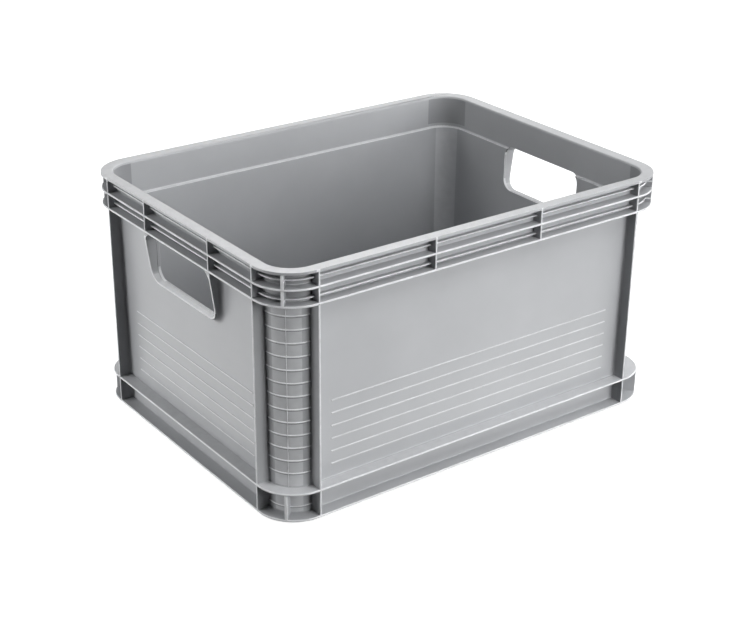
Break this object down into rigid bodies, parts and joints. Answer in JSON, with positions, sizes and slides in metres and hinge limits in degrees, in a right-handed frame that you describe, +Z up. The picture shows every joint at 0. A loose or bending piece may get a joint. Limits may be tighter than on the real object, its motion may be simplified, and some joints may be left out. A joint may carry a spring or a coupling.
{
  "type": "stacking plastic crate",
  "caption": "Open-topped rectangular stacking crate in light grey plastic, with a ribbed band under the rim, hand openings in the end walls and a flanged base.",
  "frame": {"origin": "centre of the base, on the plane that the crate stands on", "axes": "+X along the long side, +Y toward the rear long wall, +Z up toward the rim"},
  "size_m": [0.4, 0.3, 0.2168],
  "materials": {
    "crate_plastic": "satin moulded polypropylene, light grey"
  },
  "bodies": {
    "root": {"stacking_ring": "crate_plastic", "floor_panel": "crate_plastic", "bottom_flange": "crate_plastic", "base_flange": "crate_plastic", "lower_flange": "crate_plastic", "lower_fin": "crate_plastic", "middle_flange": "crate_plastic", "upper_fin": "crate_plastic", "top_rim": "crate_plastic", "front_wall": "crate_plastic", "rear_wall": "crate_plastic", "left_end_wall": "crate_plastic", "right_end_wall": "crate_plastic", "left_hand_grip": "crate_plastic", "right_hand_grip": "crate_plastic", "front_band_wall": "crate_plastic", "rear_band_wall": "crate_plastic", "left_band_wall": "crate_plastic", "right_band_wall": "crate_plastic", "front_left_column": "crate_plastic", "front_right_column": "crate_plastic", "rear_left_column": "crate_plastic", "rear_right_column": "crate_plastic", "front_left_band_corner": "crate_plastic", "front_right_band_corner": "crate_plastic", "rear_left_band_corner": "crate_plastic", "rear_right_band_corner": "crate_plastic", "front_left_base_rib": "crate_plastic", "front_right_base_rib": "crate_plastic", "rear_left_base_rib": "crate_plastic", "rear_right_base_rib": "crate_plastic", "front_rib_left": "crate_plastic", "front_rib_right": "crate_plastic", "rear_rib_left": "crate_plastic", "rear_rib_right": "crate_plastic", "left_rib_front": "crate_plastic", "left_rib_rear": "crate_plastic", "right_rib_front": "crate_plastic", "right_rib_rear": "crate_plastic"}
  },
  "joints": []
}
